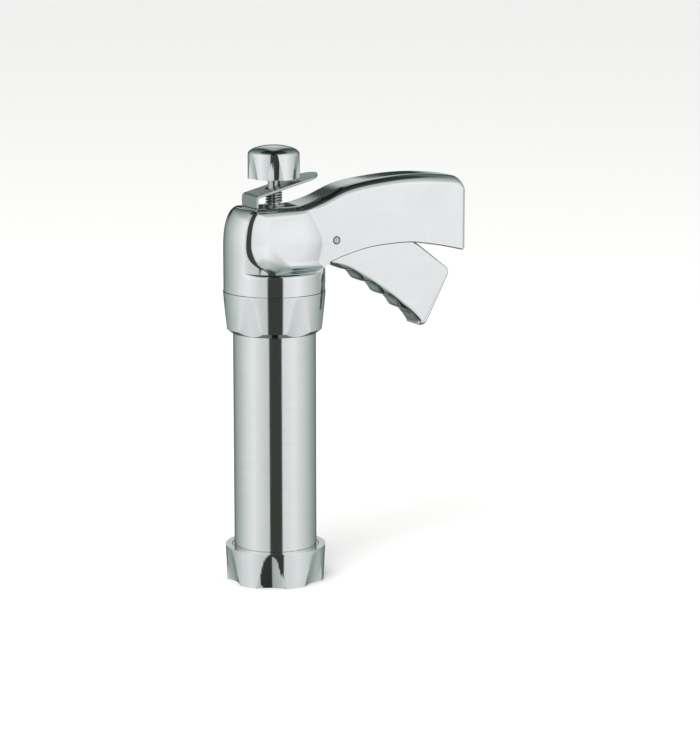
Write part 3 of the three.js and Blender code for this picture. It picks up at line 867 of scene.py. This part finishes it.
def body_shell():
    """Column and handle before their upper and lower edges are shaped. Rows lie close together where the
    wall curves, and one lies just inside each sharp edge to keep the plain wall's shading straight."""
    tallest = (1 + SCOOP_GROWTH) * sizes().scoop_height / MM
    start = COLUMN_TOP - SHOULDER_DROP
    heights = {JOINT, JOINT + 0.35, LEDGE - 1.3 * RIM_ROUND, LEDGE, LEDGE + 0.01, HANDLE_TOP}
    heights |= {LEDGE - RIM_ROUND * (1 - math.sin(math.pi / 2 * k / 8)) for k in range(8)}
    heights |= {LEDGE + tallest * (k / 44) ** 1.9 for k in range(1, 45)}
    heights |= {start + SHOULDER_DROP * math.sin(math.pi / 2 * k / 26) for k in range(27)}
    rows = sorted(round(h, 4) for h in heights)
    return wrap([body_loop(h) for h in rows])


def edge_section(x):
    """Section, at x, of the room that the body is trimmed to: rounded upper edges, and under the handle
    rounded lower ones. Its sides stand a hair outside the body, so that only the edges are shaped."""
    fillet = sizes().back_fillet / MM
    low_fillet, hair, wide = 1.3, 0.1, 45.0
    past = max(x - (HANDLE_END - END_ROUND), 0.0)
    drop = END_ROUND - math.sqrt(max(END_ROUND**2 - past**2, 0.0))
    crown = back_of_handle(x) - drop
    middle, taper = cheek_line(HANDLE_TOP)
    half = max(middle - taper * x, HANDLE_HALF) + hair
    half = min(half, sizes().cheek_half_width / MM + hair)
    lift = END_LIFT * smooth_step((x - (HANDLE_END - END_LIFT)) / END_LIFT)
    floor = belly_of_handle(x) + lift if x > COLUMN_RADIUS else JOINT - 5
    dome = []
    for k in range(13):
        angle = math.pi / 2 * k / 12
        dome.append((x, half - fillet + fillet * math.cos(angle),
                     crown - fillet + fillet * math.sin(angle)))
    brow = crown - fillet - 1
    side = [(x, half, brow), (x, wide, brow), (x, wide, floor + 6), (x, half, floor + 5)]
    for k in range(5):
        angle = math.pi / 2 * k / 4
        side.append((x, half - low_fillet + low_fillet * math.cos(angle),
                     floor + low_fillet - low_fillet * math.sin(angle)))
    if x <= COLUMN_RADIUS:
        side[2:] = [(x, wide, floor + 6 - k) for k in range(len(side) - 2)]
    loop = dome[::-1] + side
    return loop + [(px, -y, z) for px, y, z in loop[::-1] if y > 0.001]


def trimming_room():
    """The room that the column and handle are trimmed to, from behind the column to the handle's end."""
    level_end = 8.0  # the column's top is level up to this x
    bend = HANDLE_END - END_ROUND
    stations = {-40.0, -24.0, -12.0, 0.0, level_end}
    stations |= {COLUMN_RADIUS, COLUMN_RADIUS + 0.02, HANDLE_END + 0.01}
    stations |= {level_end + (bend - level_end) * k / 60 for k in range(61)}
    stations |= {bend + END_ROUND * math.sin(math.pi / 2 * k / 12) for k in range(13)}
    return wrap([edge_section(x) for x in sorted(round(x, 4) for x in stations)])


def handle_channel():
    """The open-bottomed room in the handle that the trigger folds up into."""
    root, mouth, below = 10, COLUMN_RADIUS + 1, LEDGE - 30
    roof_wall, end_wall = 4, 4
    inner = HANDLE_END - end_wall
    roof = [(x, back_of_handle(x) - roof_wall) for x in range(31, int(inner), 4)]
    outline = [(root, LEDGE + 3), (mouth, LEDGE + 0.6), (mouth, below), (inner, below),
               (inner, back_of_handle(inner) - 6), *roof[::-1], (root, COLUMN_TOP - 7)]
    return prism(outline, HANDLE_HALF - CHANNEL_WALL)


def stop_web():
    """The small web under the handle's root, which the trigger rests on."""
    out, root = COLUMN_RADIUS + 4.8, COLUMN_RADIUS - 2
    foot = JOINT + 1.5
    rest = PIN.z - 14.1
    outline = [(root, foot), (COLUMN_RADIUS, foot), (out, JOINT + 9), (out, rest - 2.2), (root, rest)]
    return soften(prism(outline, 6), 0.8, 4)


def ledge_shaving():
    """A thin curved sliver outside the round column, which trims the ledge at the handle's root."""
    low, high, root = LEDGE - 1, LEDGE + 1.3, 15
    outer = COLUMN_RADIUS + 0.3
    wedge = prism([(root, low), (outer, low), (outer, high + 0.05), (root, high)], 20)
    skin = COLUMN_RADIUS + 0.02
    return carve(wedge, turn([(0, LEDGE - 3), (skin, LEDGE - 3), (skin, LEDGE + 3), (0, LEDGE + 3)], 360))


class PRESS_OT_housing(bpy.types.Operator):
    """Add the hollow cast housing: column, cheeks, handle, neck and stop web in one piece"""

    bl_idname = "press.housing"
    bl_label = "Housing"

    def execute(self, context):
        body = carve(body_shell(), trimming_room(), "INTERSECT")
        carve(body, ledge_shaving())
        carve(body, stop_web(), "UNION")
        neck, low, high = 25.9, HOUSING_LOW.z, JOINT + 1
        carve(body, turn([(0, low), (neck, low), (neck, high), (0, high)], 96), "UNION")
        self.hollow(body)
        self.holes(body)
        tidy_shell(body)
        finish_piece(body, "cast_housing", "frame", material("chrome"), ["housing"],
                     crease=28)
        return {"FINISHED"}

    def hollow(self, body):
        """Opens the neck, the column and the channel that the trigger folds into, all as one room."""
        neck_bore, wide = 22.5, COLUMN_RADIUS - COLUMN_WALL
        low, shelf = HOUSING_LOW.z - 1, LEDGE - 2.8
        bore = [(0, low), (neck_bore, low), (neck_bore, JOINT + 2), (wide, JOINT + 3.4), (wide, shelf),
                (0, shelf)]
        cavity = turn(bore, 96)
        heights = [shelf - 0.8]
        for k in range(9):
            heights.append(COLUMN_CEILING - SHOULDER_DROP * (1 - math.sin(math.pi / 2 * k / 8)))
        upper = wrap([column_loop(h, COLUMN_WALL, COLUMN_CEILING, False) for h in heights])
        carve(cavity, upper, "UNION")
        carve(cavity, handle_channel(), "UNION")
        carve(body, cavity)

    def holes(self, body):
        """Cuts the bushing's seat, the slot of the release plate's tab, and the hole for the pin."""
        low, high = COLUMN_CEILING - 2, COLUMN_TOP + 3
        seat = BUSHING_HIGH.x + SEAT
        carve(body, turn([(0, low), (seat, low), (seat, high), (0, high)], 72))
        slot_half = 7.3
        carve(body, block((TAB_X - 0.9, -slot_half, low), (TAB_X + 2.5, slot_half, high)))
        carve(body, cross_bar(PIN_HIGH.x - PIN.x + PIN_GAP, 60, 64))


# ---- Trigger and its pin -------------------------------------------------------------------------


def finger_side(wave_share):
    """The trigger's finger side, hollow along its length, from the pivot end to the tip. wave_share is
    how much of the finger waves shows: none at the edges and all of them along the middle."""
    start, end = Vector((30, PIN.z - 13.2)), Vector((90.2, PIN.z - 54))
    bow, pitch, first_crest = 4, 15.5, 18.6
    steps = 120
    along = end - start
    inward = Vector((-along.y, along.x)).normalized()
    points = []
    for k in range(steps + 1):
        t = k / steps
        fade = math.sqrt(max(math.sin(math.pi * t), 0.0))
        phase = 2 * math.pi * (t * along.length - first_crest) / pitch
        wave = sizes().wave_depth / MM * math.cos(phase)
        point = start + along * t + inward * (bow + wave * wave_share) * fade
        points.append((point.x, point.y))
    return points


def trigger_outline(wave_share):
    """The trigger's side view, and the rounding of its rim at each point: full along the finger side,
    small at that side's pointed start, and less along the straight sides."""
    round_tip, slope, lift = 4.2, -28, 42  # radius of both tip corners, and degrees their arcs turn to
    tip = arc((PIN.x + 58.6, PIN.z - 51.2), round_tip, -118, slope, 12)
    corner = arc((PIN.x + 72.4, PIN.z - 24.4), round_tip, slope, lift, 8)
    upper = [(PIN.x + 56, PIN.z - 6.4), (PIN.x + 42, PIN.z + 2.5), (PIN.x + 3, PIN.z + 7),
             (PIN.x - 6, PIN.z + 4)]
    fingers = finger_side(wave_share)
    full = sizes().trigger_fillet / MM
    at_start, at_sides, run_in = 0.12, 0.4, 26
    fillets = [full * (at_start + (1 - at_start) * smooth_step(k / run_in)) for k in range(len(fingers))]
    last = len(tip) - 1
    fillets += [full * (1 - (1 - at_sides) * k / last) for k in range(len(tip))]
    fillets += [full * at_sides] * (len(corner) + len(upper))
    return [*fingers, *tip, *corner, *upper], fillets


class PRESS_OT_trigger(bpy.types.Operator):
    """Add the trigger, with its waved finger side and the arm that pushes the drive plate, and its pin"""

    bl_idname = "press.trigger"
    bl_label = "Trigger"

    def execute(self, context):
        self.trigger()
        self.pin()
        return {"FINISHED"}

    def trigger(self):
        """A solid blade with a waved finger side, and an arm that reaches into the column."""
        blade = pillow(trigger_outline, 9)
        arm_reach, arm_rise, arm_half = 25, math.radians(14), 6
        nose = 2.5
        nose_x = TRIGGER_LOW.x + nose
        nose_z = PIN.z + arm_reach * math.sin(arm_rise)
        arm = prism([(nose_x, nose_z - nose), (nose_x + 6.5, nose_z - 1.5), (PIN.x, PIN.z - 1),
                     (PIN.x, PIN.z + 7), (nose_x, nose_z + nose), (nose_x - 2.2, nose_z + 1),
                     (nose_x - 2.2, nose_z - 1)], arm_half)
        carve(blade, arm, "UNION")
        pin_bore = 2.3
        carve(blade, cross_bar(pin_bore, 60, 64))
        finish_piece(blade, "squeeze_trigger", "trigger", material("chrome"),
                     ["trigger"], crease=28)

    def pin(self):
        """A round pin through both cheeks of the handle, with rounded ends."""
        pin = soften(cross_bar(PIN_HIGH.x - PIN.x, PIN_HIGH.y - PIN_LOW.y, 72), 0.35, 4)
        finish_piece(pin, "hinge_pin", "frame", material("rod"), ["trigger_pin"])


# ---- Release plate -------------------------------------------------------------------------------


class PRESS_OT_release(bpy.types.Operator):
    """Add the bent release plate that holds the rod, with its tab and rounded thumb end"""

    bl_idname = "press.release"
    bl_label = "Release plate"

    def execute(self, context):
        half, front = PLATE_HIGH.y, 17.0
        hook_top = COLUMN_CEILING - 0.7
        low, high = COLUMN_TOP + SLIP, COLUMN_TOP + 40
        strip = prism(self.side_view(front + half, hook_top), half)
        behind = TAB_X - 8
        plan = arc((front, 0), half, -90, 90, 40) + [(behind, half), (behind, -half)]
        template = wrap([[(x, y, z) for x, y in plan] for z in (low, high)])
        hook_half = 7
        carve(template, block((behind, -hook_half, hook_top - 9), (0, hook_half, low + 1)), "UNION")
        carve(strip, template, "INTERSECT")
        slot_half, play = ROD_RADIUS + SLIP, 1.6
        hole = arc((0, 0), slot_half, -90, 90, 24) + arc((-play, 0), slot_half, 90, 270, 24)
        carve(strip, wrap([[(x, y, z) for x, y in hole] for z in (low, high)]))
        soften(strip, 0.3, 3, 40)
        finish_piece(strip, "thumb_release", "release_plate", material("steel"),
                     ["release_plate"])
        return {"FINISHED"}

    def side_view(self, end_x, hook_top):
        """The bent strip from the side: a foot under the column's top, the tab, one bend and the slope."""
        thickness, foot = 1.6, 1.4
        tilt = 14.5  # degrees
        rise = math.tan(math.radians(tilt))
        rod_z = FOOT + 230.7  # the strip's underside where the rod goes through
        inside = 1.0  # radius of the bend's inner side
        turn_x = TAB_X + thickness + inside
        under = rod_z + rise * turn_x
        turn_z = under - inside / math.cos(math.radians(tilt)) - rise * inside * 0.12
        bend_out = arc((turn_x, turn_z), inside + thickness, 90 + tilt, 180, 10)
        bend_in = arc((turn_x, turn_z), inside, 180, 90 + tilt, 8)
        last_out, last_in = bend_out[0], bend_in[-1]
        return [
            (TAB_X - foot, hook_top - thickness), (TAB_X + thickness, hook_top - thickness), *bend_in,
            (end_x, last_in[1] + rise * (end_x - last_in[0])),
            (end_x, last_out[1] + rise * (end_x - last_out[0])),
            *bend_out, (TAB_X, hook_top), (TAB_X - foot, hook_top),
        ]


# ---- Construction nodes that stay as they are ----------------------------------------------------


class PRESS_OT_inner(bpy.types.Operator):
    """Give the inner pieces that keep their construction shape their real finishes"""

    bl_idname = "press.inner"
    bl_label = "Inner pieces"

    def execute(self, context):
        kept = {
            "head_gasket": "rubber",
            "piston_seal": "rubber",
            "rod_guide_disc": "tube",
            "piston": "tube",
            "lower_rod_bushing": "brass",
            "piston_washer": "steel",
            "piston_nut": "steel",
            "drive_plate": "steel",
            "drive_spring_washer": "steel",
        }
        for name, kind in kept.items():
            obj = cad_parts[name]
            for place in obj.material_slots:
                place.material = material(kind)
        return {"FINISHED"}


# ---- Studio --------------------------------------------------------------------------------------


def studio_world():
    """A round studio: bright screens with darker gaps between them, and a dark roof.

    Its bands run round the upright axis. Only polished surfaces show it: the rest of the light is white.
    """
    world = bpy.data.worlds.new("studio")
    bpy.context.scene.world = world
    world.use_nodes = True
    tree = world.node_tree
    tree.nodes.clear()
    way = node(tree, "ShaderNodeTexCoord").outputs["Generated"]
    turned = node(tree, "ShaderNodeMapping", {"vector_type": "POINT"}, Vector=way,
                  Rotation=(0, 0, math.radians(-FACING))).outputs["Vector"]
    parts = node(tree, "ShaderNodeSeparateXYZ", Vector=turned)
    angle = node(tree, "ShaderNodeMath", {"operation": "ARCTAN2"}, i0=parts.outputs["Y"],
                 i1=parts.outputs["X"])
    share = node(tree, "ShaderNodeMapRange", Value=angle.outputs["Value"], From_Min=-math.pi,
                 From_Max=math.pi)
    around = node(tree, "ShaderNodeValToRGB", Fac=share.outputs["Result"])
    bands(around.color_ramp, SCREENS)
    height = node(tree, "ShaderNodeMapRange", Value=parts.outputs["Z"], From_Min=-1.0, From_Max=1.0)
    roof = node(tree, "ShaderNodeValToRGB", Fac=height.outputs["Result"])
    bands(roof.color_ramp, ROOF)
    gap = node(tree, "ShaderNodeValToRGB", Fac=height.outputs["Result"])
    bands(gap.color_ramp, GAP)
    behind = node(tree, "ShaderNodeValToRGB", Fac=share.outputs["Result"])
    bands(behind.color_ramp, BEHIND)
    dark = node(tree, "ShaderNodeMix", {"data_type": "RGBA"}, i0=behind.outputs["Color"],
                i6=(1, 1, 1, 1), i7=gap.outputs["Color"])
    lit = node(tree, "ShaderNodeMix", {"data_type": "RGBA", "blend_type": "MULTIPLY"}, i0=1.0,
               i6=around.outputs["Color"], i7=roof.outputs["Color"])
    both = node(tree, "ShaderNodeMix", {"data_type": "RGBA", "blend_type": "MULTIPLY"}, i0=1.0,
                i6=lit.outputs["Result"], i7=dark.outputs["Result"])
    studio = node(tree, "ShaderNodeBackground", Color=both.outputs["Result"], Strength=1.0)
    white = node(tree, "ShaderNodeBackground", Color=(1, 1, 1, 1), Strength=1.0)
    mirrored = node(tree, "ShaderNodeLightPath").outputs["Is Glossy Ray"]
    mixed = node(tree, "ShaderNodeMixShader", i0=mirrored, i1=white.outputs["Background"],
                 i2=studio.outputs["Background"])
    node(tree, "ShaderNodeOutputWorld", Surface=mixed.outputs["Shader"])


# Degrees round from the camera's side, and the tone there. The narrow dark gap stands behind the camera,
# and grey-green walls stand at the far side.
SCREENS = [
    (-180, "#DDE1E0"), (-173, "#B9C0BD"), (-169, "#3F4744"), (-158, "#6F7A76"), (-144, "#93A09B"),
    (-112, "#C6CECB"), (-84, "#EEF1F0"), (-61, "#FFFFFF"), (-31, "#E2E6E5"), (-16, "#D8DCDB"),
    (-14, "#42433F"), (19, "#42433F"), (21, "#EEF0F0"), (30, "#F2F4F4"), (55, "#FFFFFF"),
    (90, "#DBE0DE"), (122, "#ACB6B2"), (145, "#8D9894"), (158, "#6F7A76"), (169, "#3F4744"),
    (173, "#B9C0BD"), (180, "#DDE1E0"),
]
# Degrees above the horizon, and how much of the screens' tone is left: grey above them, dark overhead.
ROOF = [
    (-90, "#6C7270"), (-55, "#8A908E"), (-32, "#DDE0DF"), (0, "#FFFFFF"), (24, "#FFFFFF"),
    (36, "#D3D9D7"), (53, "#C2CAC7"), (60, "#4A524F"), (70, "#434B48"), (90, "#2B312F"),
]
# The dark gap just above the horizon, which stands only on the side away from the camera.
GAP = [(-90, "#FFFFFF"), (1, "#FFFFFF"), (4, "#3B4340"), (12, "#3B4340"), (13.6, "#F0F3F2"),
       (90, "#FFFFFF")]
BEHIND = [(-180, "#FFFFFF"), (-156, "#FFFFFF"), (-140, "#000000"), (140, "#000000"), (156, "#FFFFFF"),
          (180, "#FFFFFF")]


def bands(ramp, stops):
    """Sets a colour ramp from (degrees, tone) stops, round a full turn or by height."""
    full_turn = stops[0][0] == -180
    elements = ramp.elements
    while len(elements) > 1:
        elements.remove(elements[-1])
    for k, (degrees, tone) in enumerate(stops):
        place = (degrees + 180) / 360 if full_turn else (math.sin(math.radians(degrees)) + 1) / 2
        stop = elements[0] if k == 0 else elements.new(place)
        stop.position = place
        stop.color = (*linear(tone), 1)


class PRESS_OT_stage(bpy.types.Operator):
    """Add the camera, the pale floor, the studio walls and a soft lamp"""

    bl_idname = "press.stage"
    bl_label = "Studio"

    def execute(self, context):
        self.camera()
        studio_world()
        self.floor()
        self.lamp()
        return {"FINISHED"}

    def camera(self):
        """A long lens, a little above the head of the press, looking down on it."""
        heading, dip = math.radians(63.3), math.radians(10.75)
        stand = (-0.6991, -1.4878, 0.4334)
        bpy.ops.object.camera_add(location=stand, rotation=(math.pi / 2 - dip, 0, heading - math.pi / 2))
        camera = bpy.context.object
        camera.name = "camera"
        camera.data.sensor_width = 36
        camera.data.lens = 139.1
        camera.data.clip_end = 100
        bpy.context.scene.camera = camera

    def floor(self):
        """A pale paper floor that runs up to the horizon."""
        bpy.ops.mesh.primitive_plane_add(size=40, location=(0, 0, FOOT * MM))
        floor = bpy.context.object
        floor.name = "studio_floor"
        floor.visible_glossy = False
        paper, tree, shader, place = bare_material("matt_paper_floor")
        shader.inputs["Roughness"].default_value = 0.9
        shader.inputs["Specular IOR Level"].default_value = 0.1
        fleck = 16.7  # mm, drawn far coarser than real paper fibres, which are too fine to show
        fibres = node(tree, "ShaderNodeTexNoise", Vector=place, Scale=1 / (fleck * MM), Detail=2.0)
        tone = finishes().floor
        blend = node(tree, "ShaderNodeMix", {"data_type": "RGBA"}, i0=fibres.outputs["Fac"],
                     i6=(*[c * 0.985 for c in tone], 1), i7=(*tone, 1))
        tree.links.new(blend.outputs["Result"], shader.inputs["Base Color"])
        floor.data.materials.append(paper)

    def lamp(self):
        """A large round lamp, high on the camera's left, for the soft shadow."""
        bpy.ops.object.light_add(type="AREA", location=(-1.4, -1.2, 2.2))
        lamp = bpy.context.object
        lamp.name = "soft_lamp"
        lamp.data.shape = "DISK"
        lamp.data.size = 1.6
        lamp.data.energy = 45
        lamp.visible_glossy = False
        lamp.visible_camera = False
        aim = Vector((0.03, 0, 0.1)) - lamp.location
        lamp.rotation_euler = aim.to_track_quat("-Z", "Y").to_euler()


# ---- Panel and start -----------------------------------------------------------------------------


class PRESS_PT_panel(bpy.types.Panel):
    """Lists the pieces of the press"""

    bl_label = "Cookie Press"
    bl_idname = "PRESS_PT_panel"
    bl_space_type = "VIEW_3D"
    bl_region_type = "UI"
    bl_category = "Cookie Press"

    def draw(self, context):
        for operator in OPERATORS:
            self.layout.operator(operator.bl_idname)
        for group in (context.scene.press_sizes, context.scene.press_finishes):
            for name in group.__annotations__:
                self.layout.prop(group, name)


OPERATORS = (
    PRESS_OT_stage,
    PRESS_OT_housing,
    PRESS_OT_trigger,
    PRESS_OT_rings,
    PRESS_OT_knob,
    PRESS_OT_barrel,
    PRESS_OT_springs,
    PRESS_OT_release,
    PRESS_OT_inner,
)
CLASSES = (PressSizes, PressFinishes, *OPERATORS, PRESS_PT_panel)


def register():
    for cls in CLASSES:
        bpy.utils.register_class(cls)
    bpy.types.Scene.press_sizes = PointerProperty(type=PressSizes)
    bpy.types.Scene.press_finishes = PointerProperty(type=PressFinishes)


def unregister():
    del bpy.types.Scene.press_finishes
    del bpy.types.Scene.press_sizes
    for cls in reversed(CLASSES):
        bpy.utils.unregister_class(cls)


def main():
    register()
    bpy.context.scene.view_settings.view_transform = "Standard"
    bpy.ops.press.stage()
    bpy.ops.press.housing()
    bpy.ops.press.trigger()
    bpy.ops.press.rings()
    bpy.ops.press.knob()
    bpy.ops.press.barrel()
    bpy.ops.press.springs()
    bpy.ops.press.release()
    bpy.ops.press.inner()


if __name__ == "__main__":
    main()
